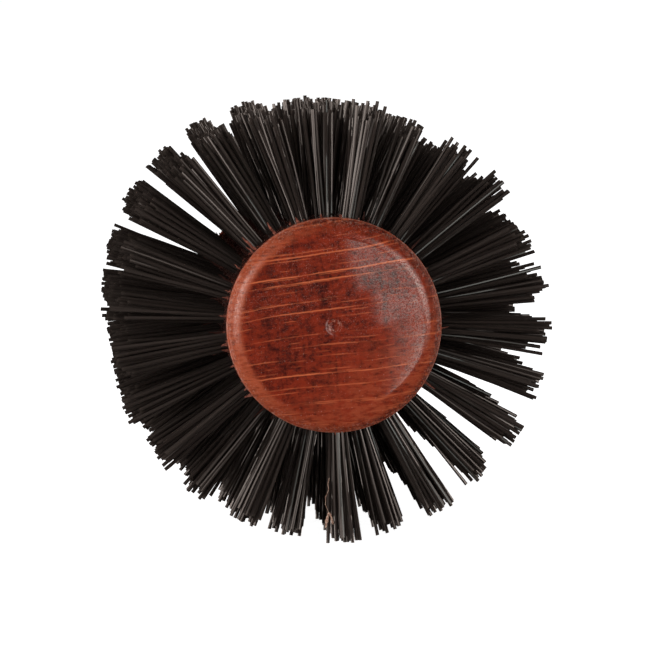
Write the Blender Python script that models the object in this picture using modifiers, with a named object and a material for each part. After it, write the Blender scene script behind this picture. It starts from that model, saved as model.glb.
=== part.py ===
"""Round barrel hair brush: one turned beech body with staggered rows of nylon tufts.

The brush lies level on its bristles. Its axis runs along Y, with the barrel's free end towards -Y
and the handle towards +Y. The origin is at the bottom centre, on the surface that it lies on.
Lengths are in metres and angles in radians.
"""

import math

import bmesh
import bpy
from mathutils import Matrix

# Driving dimensions.
BARREL_RADIUS = 0.015
TIP_RADIUS = 0.0315
BODY_LENGTH = 0.222
ROWS = 26
TUFTS_PER_ROW = 11
TUFT_PITCH = 0.0076
FIRST_TUFT = 0.0072

# Free end of the barrel: a flat face, an elliptical edge and the mark of the lathe's centre.
EDGE_WIDTH = 0.0030
EDGE_DEPTH = 0.0018
CENTRE_MARK_RADIUS = 0.0009
CENTRE_MARK_DEPTH = 0.0003

# Distances from the free end, and radii, of the barrel's shoulder and the handle behind it.
SHOULDER_START = 0.0925
SHOULDER_END = 0.0970
SHOULDER_RADIUS = 0.0112
NECK = (0.1050, 0.0066)
PALM_SWELL = (0.1480, 0.0099)
WAIST = (0.2010, 0.0069)
BUTT_SWELL = (0.2150, 0.0084)

# Drilled holes, from above the barrel's surface down to their floor, measured from its axis.
# A hexagon of this radius has about the area of the round hole.
HOLE_RADIUS = 0.00145
HOLE_SIDES = 6
HOLE_FLOOR = 0.0095
DRILL_TOP = BARREL_RADIUS + 0.003

# A row of tufts, as one closed solid: square stems stand clear in the holes and fan out above
# them, until neighbours meet.
STEM_HALF_WIDTH = 0.0007
STEM_FOOT = HOLE_FLOOR + 0.0003
TUFTS_MEET = 0.0260
TIP_HALF_WIDTH = 0.0029

BODY_SIDES = 2 * ROWS
ARC_STEPS = 4
HANDLE_STEPS = 5
MERGE_DISTANCE = 0.00001

ROW_ANGLE = math.tau / ROWS
AXIS_HEIGHT = TIP_RADIUS
HALF_LENGTH = BODY_LENGTH / 2

BEECH_COLOUR = (0.300, 0.062, 0.026, 1.0)
BEECH_ROUGHNESS = 0.30
NYLON_COLOUR = (0.012, 0.011, 0.011, 1.0)
NYLON_ROUGHNESS = 0.35


def clear_scene():
    for old in list(bpy.data.objects):
        bpy.data.objects.remove(old)


def make_collection(name, for_cutters=False):
    collection = bpy.data.collections.new(name)
    bpy.context.scene.collection.children.link(collection)
    collection.hide_render = for_cutters
    return collection


def make_material(name, colour, roughness):
    material = bpy.data.materials.new(name)
    material.use_nodes = True
    shader = material.node_tree.nodes["Principled BSDF"]
    shader.inputs["Base Color"].default_value = colour
    shader.inputs["Roughness"].default_value = roughness
    shader.inputs["Metallic"].default_value = 0.0
    return material


def quarter_turn(steps):
    """Cosine and sine of the inner points of a quarter circle, without its two ends."""
    angles = [math.pi / 2 * step / steps for step in range(1, steps)]
    return [(math.cos(angle), math.sin(angle)) for angle in angles]


def free_end_profile():
    """(distance from the free end, radius) from the axis out to the straight barrel."""
    points = [
        (CENTRE_MARK_DEPTH, 0.0),
        (0.0, CENTRE_MARK_RADIUS),
        (0.0, BARREL_RADIUS - EDGE_WIDTH),
    ]
    for cosine, sine in quarter_turn(ARC_STEPS):
        points.append((EDGE_DEPTH * (1 - cosine), BARREL_RADIUS - EDGE_WIDTH * (1 - sine)))
    points.append((EDGE_DEPTH, BARREL_RADIUS))
    return points


def shoulder_profile():
    """The barrel's rounded rear edge, and the cove that runs down from it to the neck."""
    points = [(SHOULDER_START, BARREL_RADIUS)]
    fall = BARREL_RADIUS - SHOULDER_RADIUS
    length = SHOULDER_END - SHOULDER_START
    for cosine, sine in quarter_turn(ARC_STEPS):
        points.append((SHOULDER_START + length * sine, SHOULDER_RADIUS + fall * cosine))
    points.append((SHOULDER_END, SHOULDER_RADIUS))
    fall = SHOULDER_RADIUS - NECK[1]
    length = NECK[0] - SHOULDER_END
    for cosine, sine in quarter_turn(ARC_STEPS):
        points.append((SHOULDER_END + length * (1 - cosine), NECK[1] + fall * (1 - sine)))
    points.append(NECK)
    return points


def swell_profile(start, end):
    """A smooth run between two stations, level at both, without its first point."""
    points = []
    for step in range(1, HANDLE_STEPS + 1):
        share = step / HANDLE_STEPS
        rise = (1 - math.cos(math.pi * share)) / 2
        points.append((start[0] + (end[0] - start[0]) * share, start[1] + (end[1] - start[1]) * rise))
    return points


def butt_profile():
    """The rounded end of the handle, from its swell to the lathe's drive mark on the axis."""
    length = BODY_LENGTH - BUTT_SWELL[0]
    radius = BUTT_SWELL[1] - CENTRE_MARK_RADIUS
    points = []
    for cosine, sine in quarter_turn(ARC_STEPS):
        points.append((BUTT_SWELL[0] + length * sine, CENTRE_MARK_RADIUS + radius * cosine))
    points.append((BODY_LENGTH, CENTRE_MARK_RADIUS))
    points.append((BODY_LENGTH - CENTRE_MARK_DEPTH, 0.0))
    return points


def body_profile():
    return (
        free_end_profile()
        + shoulder_profile()
        + swell_profile(NECK, PALM_SWELL)
        + swell_profile(PALM_SWELL, WAIST)
        + swell_profile(WAIST, BUTT_SWELL)
        + butt_profile()
    )


def build_body(collection, material):
    """The body is turned about local Z, which is then laid along Y with its free end towards -Y."""
    profile = body_profile()
    mesh = bpy.data.meshes.new("turned_body")
    mesh.from_pydata(
        [(radius, 0.0, HALF_LENGTH - distance) for distance, radius in profile],
        [(index, index + 1) for index in range(len(profile) - 1)],
        [],
    )
    mesh.materials.append(material)
    body = bpy.data.objects.new("turned_body", mesh)
    body.location.z = AXIS_HEIGHT
    body.rotation_euler.x = math.pi / 2
    collection.objects.link(body)
    turning = body.modifiers.new("turning", "SCREW")
    turning.steps = BODY_SIDES
    turning.render_steps = BODY_SIDES
    turning.use_merge_vertices = True
    turning.merge_threshold = MERGE_DISTANCE
    turning.use_smooth_shade = True
    return body


def row_turn(row):
    """Turns local +Z from straight up to the row's direction. Row 0 points straight down."""
    return math.pi - row * ROW_ANGLE


def row_shift(row):
    """Every second row stands half a pitch further back, so that the holes keep clear."""
    return TUFT_PITCH / 2 if row % 2 else 0.0


def tuft_distance(row, tuft):
    """Distance of a tuft's hole from the free end."""
    return FIRST_TUFT + row_shift(row) + tuft * TUFT_PITCH


def drill_place(row, tuft):
    """Where a drill stands: on the barrel's axis, turned to its row and moved out."""
    return (
        Matrix.Translation((0, tuft_distance(row, tuft) - HALF_LENGTH, AXIS_HEIGHT))
        @ Matrix.Rotation(row_turn(row), 4, "Y")
        @ Matrix.Translation((0, 0, (DRILL_TOP + HOLE_FLOOR) / 2))
        @ Matrix.Rotation(math.pi / 2, 4, "Z")
    )


def drill_holes(body, cutters):
    """Cuts one blind hole for each tuft, from one mesh that holds all the drills."""
    drills = bmesh.new()
    for row in range(ROWS):
        for tuft in range(TUFTS_PER_ROW):
            bmesh.ops.create_cone(
                drills,
                cap_ends=True,
                segments=HOLE_SIDES,
                radius1=HOLE_RADIUS,
                radius2=HOLE_RADIUS,
                depth=DRILL_TOP - HOLE_FLOOR,
                matrix=drill_place(row, tuft),
            )
    mesh = bpy.data.meshes.new("hole_drills")
    drills.to_mesh(mesh)
    drills.free()
    cutter = bpy.data.objects.new("hole_drills", mesh)
    cutter.hide_render = True
    cutter.display_type = "WIRE"
    cutters.objects.link(cutter)
    drilling = body.modifiers.new("drilling", "BOOLEAN")
    drilling.operation = "DIFFERENCE"
    drilling.solver = "EXACT"
    drilling.object = cutter


def row_outline():
    """Outline of a row in (along, out): a comb with one stem for each tuft and a straight top."""
    first = FIRST_TUFT - HALF_LENGTH
    half_pitch = TUFT_PITCH / 2
    outline = [(first - half_pitch, TUFTS_MEET)]
    for tuft in range(TUFTS_PER_ROW):
        middle = first + tuft * TUFT_PITCH
        outline += [
            (middle - STEM_HALF_WIDTH, BARREL_RADIUS),
            (middle - STEM_HALF_WIDTH, STEM_FOOT),
            (middle + STEM_HALF_WIDTH, STEM_FOOT),
            (middle + STEM_HALF_WIDTH, BARREL_RADIUS),
            (middle + half_pitch, TUFTS_MEET),
        ]
    last = outline[-1][0]
    return outline + [(last, TIP_RADIUS), (first - half_pitch, TIP_RADIUS)]


def half_width(out):
    """Half of a row's width at a distance from the axis: even in the hole, then fanning out."""
    share = max(0.0, (out - BARREL_RADIUS) / (TIP_RADIUS - BARREL_RADIUS))
    return STEM_HALF_WIDTH + (TIP_HALF_WIDTH - STEM_HALF_WIDTH) * share


def fill_outline(outline, half_thickness):
    """A closed plate of this outline, as a mesh with its middle plane at Z = 0."""
    curve = bpy.data.curves.new("row_outline", "CURVE")
    curve.dimensions = "2D"
    curve.fill_mode = "BOTH"
    curve.extrude = half_thickness
    spline = curve.splines.new("POLY")
    spline.points.add(len(outline) - 1)
    for point, (along, out) in zip(spline.points, outline):
        point.co = (along, out, 0.0, 1.0)
    spline.use_cyclic_u = True
    plate = bpy.data.objects.new("row_outline", curve)
    bpy.context.scene.collection.objects.link(plate)
    graph = bpy.context.evaluated_depsgraph_get()
    mesh = bpy.data.meshes.new_from_object(plate.evaluated_get(graph))
    bpy.data.objects.remove(plate)
    return mesh


def build_row_mesh(material):
    """One row of tufts, pointing up local Z, with local Y along the brush."""
    mesh = fill_outline(row_outline(), TIP_HALF_WIDTH)
    shape = bmesh.new()
    shape.from_mesh(mesh)
    bmesh.ops.remove_doubles(shape, verts=shape.verts, dist=MERGE_DISTANCE)
    for vertex in shape.verts:
        along, out, across = vertex.co
        vertex.co = (across / TIP_HALF_WIDTH * half_width(out), along, out)
    bmesh.ops.recalc_face_normals(shape, faces=shape.faces)
    shape.to_mesh(mesh)
    shape.free()
    mesh.name = "bristle_row"
    mesh.materials.clear()
    mesh.materials.append(material)
    return mesh


def build_rows(collection, material):
    mesh = build_row_mesh(material)
    for row in range(ROWS):
        bristles = bpy.data.objects.new(f"bristle_row_{row + 1:02d}", mesh)
        bristles.location = (0.0, row_shift(row), AXIS_HEIGHT)
        bristles.rotation_euler.y = row_turn(row)
        collection.objects.link(bristles)


def main():
    clear_scene()
    brush = make_collection("round_barrel_brush")
    cutters = make_collection("cutters", for_cutters=True)
    wood = make_material("stained_beech", BEECH_COLOUR, BEECH_ROUGHNESS)
    nylon = make_material("black_nylon", NYLON_COLOUR, NYLON_ROUGHNESS)
    body = build_body(brush, wood)
    drill_holes(body, cutters)
    build_rows(brush, nylon)


main()
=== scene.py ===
"""Looks of a round barrel hair brush: a turned and stained beech body with black nylon tufts.

The frame gives its place and size. The brush lies level on its bristles, with its axis along Y,
the barrel's free end towards -Y and the floor at Z = 0. Lengths are in metres.
"""

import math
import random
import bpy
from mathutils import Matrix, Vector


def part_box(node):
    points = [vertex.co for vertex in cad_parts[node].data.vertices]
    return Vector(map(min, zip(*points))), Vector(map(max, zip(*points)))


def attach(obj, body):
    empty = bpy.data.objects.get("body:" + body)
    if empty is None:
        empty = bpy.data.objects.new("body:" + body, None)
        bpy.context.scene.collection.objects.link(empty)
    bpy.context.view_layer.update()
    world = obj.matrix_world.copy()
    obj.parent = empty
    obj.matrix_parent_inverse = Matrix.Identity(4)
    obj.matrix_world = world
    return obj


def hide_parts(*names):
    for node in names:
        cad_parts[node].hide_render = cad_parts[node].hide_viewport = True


bl_info = {
    "name": "Round Barrel Hair Brush",
    "version": (1, 0, 0),
    "blender": (4, 5, 0),
    "location": "3D View > Sidebar > Hair Brush",
    "description": "Builds a round hair brush with a turned beech body and nylon tufts",
    "category": "Add Mesh",
}

import bmesh
import bpy
from bpy.props import FloatProperty, FloatVectorProperty, IntProperty, PointerProperty
from mathutils import Matrix, Vector, noise

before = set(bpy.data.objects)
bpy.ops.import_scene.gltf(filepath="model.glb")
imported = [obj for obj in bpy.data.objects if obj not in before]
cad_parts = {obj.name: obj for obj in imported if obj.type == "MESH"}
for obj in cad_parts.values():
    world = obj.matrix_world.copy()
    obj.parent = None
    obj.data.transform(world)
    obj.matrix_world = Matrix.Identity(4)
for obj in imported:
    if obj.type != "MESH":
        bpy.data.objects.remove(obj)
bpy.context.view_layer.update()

MM = 0.001
BODY_LOW, BODY_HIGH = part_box("turned_body")
FACE_Y = BODY_LOW.y
BODY_LENGTH = BODY_HIGH.y - BODY_LOW.y
BARREL_RADIUS = (BODY_HIGH.x - BODY_LOW.x) / 2
AXIS_HEIGHT = (BODY_HIGH.z + BODY_LOW.z) / 2
TIP_RADIUS = AXIS_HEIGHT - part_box("bristle_row_01")[0].z
ROWS = sum(name.startswith("bristle_row_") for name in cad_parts)
ROW_ANGLE = math.tau / ROWS
TUFTS_PER_ROW = 11
ROW_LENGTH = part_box("bristle_row_01")[1].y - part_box("bristle_row_01")[0].y
TUFT_PITCH = ROW_LENGTH / TUFTS_PER_ROW
FIRST_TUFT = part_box("bristle_row_01")[0].y - FACE_Y + TUFT_PITCH / 2

# Stations of the turned profile, as distances from the free end and radii.
EDGE_WIDTH = 3.0 * MM
EDGE_DEPTH = 1.8 * MM
CENTRE_MARK_RADIUS = 0.9 * MM
CENTRE_MARK_DEPTH = 0.3 * MM
SHOULDER_START = 92.5 * MM
SHOULDER_END = 97.0 * MM
SHOULDER_RADIUS = 11.2 * MM
NECK = (105.0 * MM, 6.6 * MM)
PALM_SWELL = (148.0 * MM, 9.9 * MM)
WAIST = (201.0 * MM, 6.9 * MM)
BUTT_SWELL = (215.0 * MM, 8.4 * MM)

# The barrel's surface is a grid of cells, one for each hole: 4 steps around and 8 along.
CELL_AROUND = 4
CELL_ALONG = 8
AROUND = ROWS * CELL_AROUND
GRID_START = FIRST_TUFT - TUFT_PITCH / 2
GRID_STEP = TUFT_PITCH / CELL_ALONG
GRID_ALONG = TUFTS_PER_ROW * CELL_ALONG + CELL_ALONG // 2
FINE = 4

# The shallow dimple that the lathe's centre left in the end face.
DIMPLE_RADIUS = 1.05 * MM
DIMPLE_DEPTH = 0.13 * MM

# How far the least pressed rows stand out, and how evenly the rows that point down are trimmed.
LEAST_PRESSED = 0.8 * MM
EVEN_TRIM = 0.42

# Patterns are worked out in millimetres: the end face's place, and the barrel's radius.
FACE_MM = FACE_Y / MM
RIM_MM = BARREL_RADIUS / MM
PITH_DISTANCE = 317.0

# Directions in degrees around the axis from +X towards +Z, then lengths and widths in millimetres.
SLIVERS = (
    (92.6, 0.5, 0.30),
    (105.6, 0.8, 0.45),
    (119.4, 1.9, 0.45),
    (132.6, 2.5, 0.50),
    (134.5, 1.2, 0.35),
    (145.6, 1.0, 0.25),
    (159.1, 0.7, 0.35),
    (172.3, 0.9, 0.35),
    (187.6, 0.9, 0.50),
    (199.6, 0.6, 0.40),
    (213.6, 0.5, 0.40),
)

# Routes of the lint: across and up from the axis, then back from the free end, in millimetres.
SHAVING_ROUTE = (
    (-2.6, -28.7, 5.4),
    (-2.35, -27.4, 5.2),
    (-2.05, -26.5, 5.3),
    (-1.75, -27.2, 5.5),
    (-1.5, -28.3, 5.8),
)
HAIR_ROUTE = (
    (-1.7, -21.6, 5.2),
    (-2.0, -22.5, 5.0),
    (-1.9, -23.2, 5.0),
    (-2.4, -24.2, 4.8),
    (-2.5, -25.3, 4.9),
    (-2.1, -26.4, 5.1),
)

# Soft lights around the free end: azimuth and elevation in degrees, size and power.
LIGHT_DISTANCE = 0.8
FILL_LIGHTS = {
    "left_fill": (-40, 20, (0.70, 0.70), 2.8),
    "left_side_fill": (-78, 10, (0.40, 0.70), 3.0),
    "right_fill": (38, 10, (0.40, 0.80), 1.9),
    "right_side_fill": (78, 0, (0.40, 0.60), 1.8),
}

# Reflected panels: azimuth and elevation in degrees, size, radiance, core and softness.
PANELS = {
    "left_panel": (-46, 11, (0.88, 0.86), 4.2, 0.5, 0.42),
    "left_side_panel": (-90, 2, (0.30, 0.90), 4.6, 0.0, 0.20),
    "left_back_panel": (-126, 4, (0.50, 0.90), 3.2, 0.0, 0.20),
    "right_panel": (26, 6, (0.60, 0.60), 7.6, 0.15, 0.50),
    "right_side_panel": (84, 2, (0.30, 0.80), 4.6, 0.0, 0.20),
    "right_back_panel": (124, 2, (0.50, 0.90), 3.2, 0.0, 0.20),
}

# Small panels close to the end face: place beside and above the axis, then as above.
NEAR_DISTANCE = 0.1
NEAR_PANELS = {
    "near_panel": (0.0256, -0.0015, (0.024, 0.011), 3.2, 0.7, 0.03),
    "near_top_panel": (0.0228, 0.0065, (0.026, 0.016), 2.6, 0.3, 0.05),
    "near_low_panel": (0.0330, -0.0155, (0.038, 0.021), 3.4, 0.4, 0.20),
}
WARM_WHITE = (1.0, 0.86, 0.78, 1.0)
PLAIN_WHITE = (0.96, 1.0, 0.94, 1.0)

# Colours of the wood's warm, worn and dusty places, with painted shade, painted light and painted glints
# among them.
WARM_STAIN = (0.34, 0.058, 0.022, 1.0)
# A dark, crusty colour for the worn edge, partly painted shade on the side away from the key light.
EDGE_CRUST_AND_SHADE = (0.045, 0.0060, 0.0042, 1.0)
# Warm wood where the stain is worn thin, partly painted light on the lit left side.
BARE_AND_LIT_EDGE = (0.40, 0.078, 0.031, 1.0)
EDGE_LIP = (0.42, 0.100, 0.052, 1.0)
# Painted shade on the barrel between the tufts.
PAINTED_TUFT_SHADE = (0.018, 0.0045, 0.0032, 1.0)
RUBBED_WOOD = (0.50, 0.15, 0.08, 1.0)
# Pale marks on the edge: partly knocked chips, partly painted glints.
KNOCKS_AND_GLINTS = (0.60, 0.42, 0.34, 1.0)
DIMPLE_SCRATCH = (0.62, 0.30, 0.22, 1.0)
WOOD_DUST = (0.62, 0.40, 0.34, 1.0)

GOLDEN_ANGLE = math.pi * (3 - math.sqrt(5))


# ---------------------------------------------------------------------------- settings


def length_setting(name, description, default):
    return FloatProperty(
        name=name, description=description, default=default, subtype="DISTANCE", unit="LENGTH"
    )


def angle_setting(name, description, degrees):
    return FloatProperty(
        name=name, description=description, default=math.radians(degrees), subtype="ANGLE"
    )


def colour_setting(name, description, default):
    return FloatVectorProperty(
        name=name, description=description, default=default, subtype="COLOR", size=4
    )


class BrushWoodSettings(bpy.types.PropertyGroup):
    """Sizes and colours of the turned body."""

    hole_radius: length_setting("Hole radius", "Radius of a drilled tuft hole", 1.35 * MM)
    hole_depth: length_setting(
        "Hole depth",
        "Depth of a tuft hole below the barrel's surface",
        5.2 * MM,
    )
    ray_spacing: FloatProperty(
        name="Ray spacing",
        description="Mean distance between the pale rays in the end grain, in millimetres",
        default=2.0,
    )
    ring_spacing: FloatProperty(
        name="Ring spacing",
        description="Mean distance between growth rings, in millimetres",
        default=3.6,
    )
    burrs_per_hole: IntProperty(
        name="Burrs per hole",
        description="Torn wood fibres at the rim of each hole",
        default=7,
    )
    dark_stain: colour_setting(
        "Dark stain",
        "Colour where the wood took the most stain",
        (0.030, 0.0028, 0.0018, 1.0),
    )
    light_stain: colour_setting(
        "Light stain",
        "Colour where the wood took the least stain",
        (0.245, 0.0235, 0.0070, 1.0),
    )
    ray_colour: colour_setting(
        "Ray colour",
        "Colour of the wood's rays, which hardly take stain",
        (0.66, 0.150, 0.054, 1.0),
    )


class BrushTuftSettings(bpy.types.PropertyGroup):
    """Sizes and colours of the nylon tufts and their anchors."""

    filaments: IntProperty(
        name="Filaments",
        description="Filament ends in each tuft",
        default=22,
    )
    filament_radius: length_setting(
        "Filament radius",
        "Half the thickness of a nylon filament",
        0.235 * MM,
    )
    fan: length_setting("Fan", "How far a tuft spreads sideways at its tips", 2.15 * MM)
    unevenness: length_setting(
        "Unevenness",
        "How much shorter than the longest the shortest filaments are",
        4.3 * MM,
    )
    stray: length_setting(
        "Stray",
        "How far a tip may stray from its place in the tuft",
        0.48 * MM,
    )
    bow: length_setting(
        "Bow",
        "How far a filament's middle may stand out from a straight line",
        0.14 * MM,
    )
    nylon_colour: colour_setting(
        "Nylon colour",
        "Colour of the filaments",
        (0.0200, 0.0145, 0.0122, 1.0),
    )


class BrushStageSettings(bpy.types.PropertyGroup):
    """Camera and floor."""

    azimuth: angle_setting(
        "Azimuth",
        "Direction of the camera around the brush, from straight at its free end",
        -3.8,
    )
    elevation: angle_setting("Elevation", "Height of the camera's direction above level", 3.9)
    roll: angle_setting("Roll", "Clockwise roll of the camera", 3.4)
    distance: length_setting("Distance", "Distance from the camera to the barrel's end face", 0.5)
    lens: FloatProperty(
        name="Lens",
        description="Focal length of the camera in millimetres",
        default=200.0,
    )
    floor_colour: colour_setting("Floor colour", "Colour of the plain floor", (0.86, 0.86, 0.86, 1.0))


# ---------------------------------------------------------------------------- node helpers


def add_node(tree, kind, inputs=None, **settings):
    """Adds a node, sets its properties, and sets or links its inputs, by name or by number."""
    node = tree.nodes.new(kind)
    for name, value in settings.items():
        setattr(node, name, value)
    for key, value in (inputs or {}).items():
        if isinstance(value, bpy.types.NodeSocket):
            tree.links.new(value, node.inputs[key])
        else:
            node.inputs[key].default_value = value
    return node


def shader_math(tree, operation, first, second=0.0, third=0.0):
    inputs = {0: first, 1: second, 2: third}
    return add_node(tree, "ShaderNodeMath", inputs, operation=operation).outputs[0]


def vector_math(tree, operation, first, second=(0.0, 0.0, 0.0)):
    inputs = {0: first, 1: second}
    return add_node(tree, "ShaderNodeVectorMath", inputs, operation=operation).outputs[0]


def scale_vector(tree, vector, scale):
    inputs = {0: vector, "Scale": scale}
    return add_node(tree, "ShaderNodeVectorMath", inputs, operation="SCALE").outputs[0]


def ramp(tree, value, low, high, to_low=0.0, to_high=1.0):
    """A smooth step of a value, from low to high."""
    inputs = {"Value": value, "From Min": low, "From Max": high, "To Min": to_low, "To Max": to_high}
    node = add_node(tree, "ShaderNodeMapRange", inputs, interpolation_type="SMOOTHSTEP")
    return node.outputs["Result"]


def times(tree, first, *others):
    """The product of some values."""
    for other in others:
        first = shader_math(tree, "MULTIPLY", first, other)
    return first


def linear(tree, value, factor, base):
    """A value times a factor, plus a base."""
    return shader_math(tree, "MULTIPLY_ADD", value, factor, base)


def mix_colour(tree, share, first, second):
    inputs = {0: share, 6: first, 7: second}
    return add_node(tree, "ShaderNodeMix", inputs, data_type="RGBA").outputs[2]


def noise_value(tree, vector, scale, detail=2.0, roughness=0.5, distortion=0.0):
    inputs = {
        "Vector": vector,
        "Scale": scale,
        "Detail": detail,
        "Roughness": roughness,
        "Distortion": distortion,
    }
    return add_node(tree, "ShaderNodeTexNoise", inputs).outputs["Fac"]


def combine(tree, x, y, z):
    return add_node(tree, "ShaderNodeCombineXYZ", {0: x, 1: y, 2: z}).outputs[0]


def stretched(tree, axes, scales):
    """A vector of three values, each with a scale of its own."""
    return vector_math(tree, "MULTIPLY", combine(tree, *axes), scales)


def separate(tree, vector):
    return add_node(tree, "ShaderNodeSeparateXYZ", {0: vector}).outputs


def distance_from_y(tree, split):
    """Distance from the Y axis, from a vector's separate parts."""
    level = times(tree, split["X"], split["X"])
    upright = times(tree, split["Z"], split["Z"])
    return shader_math(tree, "SQRT", shader_math(tree, "ADD", level, upright))


def cells_along(tree, place, randomness):
    """Uneven cells along a line: the distance to a cell's middle, and its random numbers."""
    inputs = {"W": place, "Scale": 1.0, "Randomness": randomness}
    cells = add_node(tree, "ShaderNodeTexVoronoi", inputs, voronoi_dimensions="1D")
    chance = add_node(tree, "ShaderNodeSeparateColor", {0: cells.outputs["Color"]})
    return cells.outputs["Distance"], chance.outputs


def new_group(name, inputs, outputs):
    """A shader node group: (name, socket type, default) for its inputs, (name, type) for outputs."""
    group = bpy.data.node_groups.new(name, "ShaderNodeTree")
    for label, kind, default in inputs:
        socket = group.interface.new_socket(label, in_out="INPUT", socket_type=kind)
        if default is not None:
            socket.default_value = default
    for label, kind in outputs:
        group.interface.new_socket(label, in_out="OUTPUT", socket_type=kind)
    return group, add_node(group, "NodeGroupInput"), add_node(group, "NodeGroupOutput")


def place_group(tree, group, inputs):
    """Places a shader node group, and gives its outputs."""
    return add_node(tree, "ShaderNodeGroup", inputs, node_tree=group).outputs


def new_material(name, constants):
    """A material with its Principled BSDF, whose plain values are set on its own sockets."""
    material = bpy.data.materials.new(name)
    material.use_nodes = True
    tree = material.node_tree
    shader = tree.nodes["Principled BSDF"]
    for key, value in constants.items():
        shader.inputs[key].default_value = value
    return material, tree, shader


def object_millimetres(tree):
    """Object coordinates in millimetres."""
    place = add_node(tree, "ShaderNodeTexCoord").outputs["Object"]
    return scale_vector(tree, place, 1 / MM)


# ---------------------------------------------------------------------------- shared effects


def broad_rays(tree, across, radial, along, spacing, broadest):
    """Lines of the broad rays. Each comes and goes, and has a strength of its own."""
    off_middle, chance = cells_along(tree, shader_math(tree, "DIVIDE", across, spacing), 0.9)
    stretch = stretched(tree, (radial, along, chance["Red"]), (0.075, 0.30, 60.0))
    present = ramp(tree, noise_value(tree, stretch, 1.0, 3.0, 0.65), 0.36, 0.60)
    width = times(tree, broadest, linear(tree, present, 0.7, 0.45))
    line = ramp(tree, times(tree, off_middle, spacing), times(tree, width, 0.10), width, 1.0, 0.0)
    return times(tree, line, present, linear(tree, chance["Green"], 0.55, 0.45))


def fine_rays(tree, across, radial, along):
    """Fainter and shorter lines between the broad rays."""
    off_middle, chance = cells_along(tree, times(tree, across, 1.35), 1.0)
    stretch = stretched(tree, (radial, along, chance["Red"]), (0.22, 0.5, 50.0))
    present = ramp(tree, noise_value(tree, stretch, 1.0, 2.0), 0.50, 0.66)
    return times(tree, ramp(tree, off_middle, 0.02, 0.15, 0.5, 0.0), present)


def growth_rings(tree, wander, radial, along, tangential, spacing):
    """Thin broken lines of late wood over soft bands."""
    place = linear(tree, wander, 1.6, radial)
    off_middle, _ = cells_along(tree, shader_math(tree, "DIVIDE", place, spacing), 0.7)
    spots = stretched(tree, (radial, along, tangential), (0.7, 0.15, 1.5))
    spotted = ramp(tree, noise_value(tree, spots, 1.0, 2.0), 0.42, 0.62)
    late_wood = times(tree, ramp(tree, off_middle, 0.01, 0.085, 1.0, 0.0), spotted)
    inputs = {"W": times(tree, place, 1.25), "Scale": 1.0, "Detail": 3.0}
    bands = add_node(tree, "ShaderNodeTexNoise", inputs, noise_dimensions="1D")
    banding = ramp(tree, bands.outputs["Fac"], 0.35, 0.7)
    return linear(tree, late_wood, 0.6, times(tree, banding, 0.4))


def beech_figure_group():
    """Figure of beech in 3-D: rays are thin upright sheets, rings are shells around the pith."""
    masks = ("Rays", "Rings", "Streaks", "Blotches", "Pores", "Stain")
    group, given, result = new_group(
        "beech_figure",
        [
            ("Millimetres", "NodeSocketVector", None),
            ("Pith", "NodeSocketVector", (-PITH_DISTANCE, 0.0, 7.0)),
            ("Ray Spacing", "NodeSocketFloat", 1.8),
            ("Ray Width", "NodeSocketFloat", 0.155),
            ("Ring Spacing", "NodeSocketFloat", 3.6),
        ],
        [(name, "NodeSocketFloat") for name in masks],
    )
    get = given.outputs
    slow = vector_math(group, "MULTIPLY", get["Millimetres"], (1.0, 0.3, 1.0))
    split = separate(group, vector_math(group, "SUBTRACT", get["Millimetres"], get["Pith"]))
    radial, along = distance_from_y(group, split), split["Y"]
    tangential = times(group, shader_math(group, "ARCTAN2", split["Z"], split["X"]), PITH_DISTANCE)
    wander = noise_value(group, slow, 0.07, 1.0)
    across = linear(group, wander, 1.4, tangential)
    across = linear(group, noise_value(group, slow, 1.2, 2.0), 0.16, across)
    broad = broad_rays(group, across, radial, along, get["Ray Spacing"], get["Ray Width"])
    fine = fine_rays(group, across, radial, along)
    rings = growth_rings(group, wander, radial, along, tangential, get["Ring Spacing"])
    around_pith = (radial, along, tangential)
    streaks = stretched(group, around_pith, (0.75, 0.12, 2.6))
    blotches = stretched(group, around_pith, (0.85, 0.10, 1.15))
    pores = stretched(group, around_pith, (4.4, 0.3, 5.6))
    figure = {
        "Rays": shader_math(group, "MAXIMUM", broad, fine),
        "Rings": rings,
        "Streaks": noise_value(group, streaks, 1.0, 3.0, 0.6),
        "Blotches": noise_value(group, blotches, 1.0, 4.0, 0.68, 0.3),
        "Pores": noise_value(group, pores, 1.0, 2.0, 0.6),
        "Stain": noise_value(group, slow, 0.16, 4.0, 0.60, 0.4),
    }
    for name, value in figure.items():
        group.links.new(value, result.inputs[name])
    return group


def dust_group():
    """Sparse pale flecks of dust, as a mask."""
    group, given, result = new_group(
        "dust_flecks",
        [
            ("Millimetres", "NodeSocketVector", None),
            ("Fleck Spacing", "NodeSocketFloat", 0.7),
            ("Fleck Size", "NodeSocketFloat", 0.12),
            ("Share", "NodeSocketFloat", 0.3),
        ],
        [("Mask", "NodeSocketFloat")],
    )
    get = given.outputs
    bent = noise_value(group, get["Millimetres"], 2.3, 2.0)
    moved = vector_math(group, "ADD", get["Millimetres"], bent)
    scale = shader_math(group, "DIVIDE", 1.0, get["Fleck Spacing"])
    inputs = {"Vector": moved, "Scale": scale, "Randomness": 1.0}
    flecks = add_node(group, "ShaderNodeTexVoronoi", inputs)
    size = shader_math(group, "DIVIDE", get["Fleck Size"], get["Fleck Spacing"])
    spot = ramp(group, flecks.outputs["Distance"], times(group, size, 0.4), size, 1.0, 0.0)
    chance = add_node(group, "ShaderNodeSeparateColor", {0: flecks.outputs["Color"]}).outputs["Red"]
    chosen = shader_math(group, "LESS_THAN", chance, get["Share"])
    group.links.new(times(group, spot, chosen), result.inputs["Mask"])
    return group


# ---------------------------------------------------------------------------- materials


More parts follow.
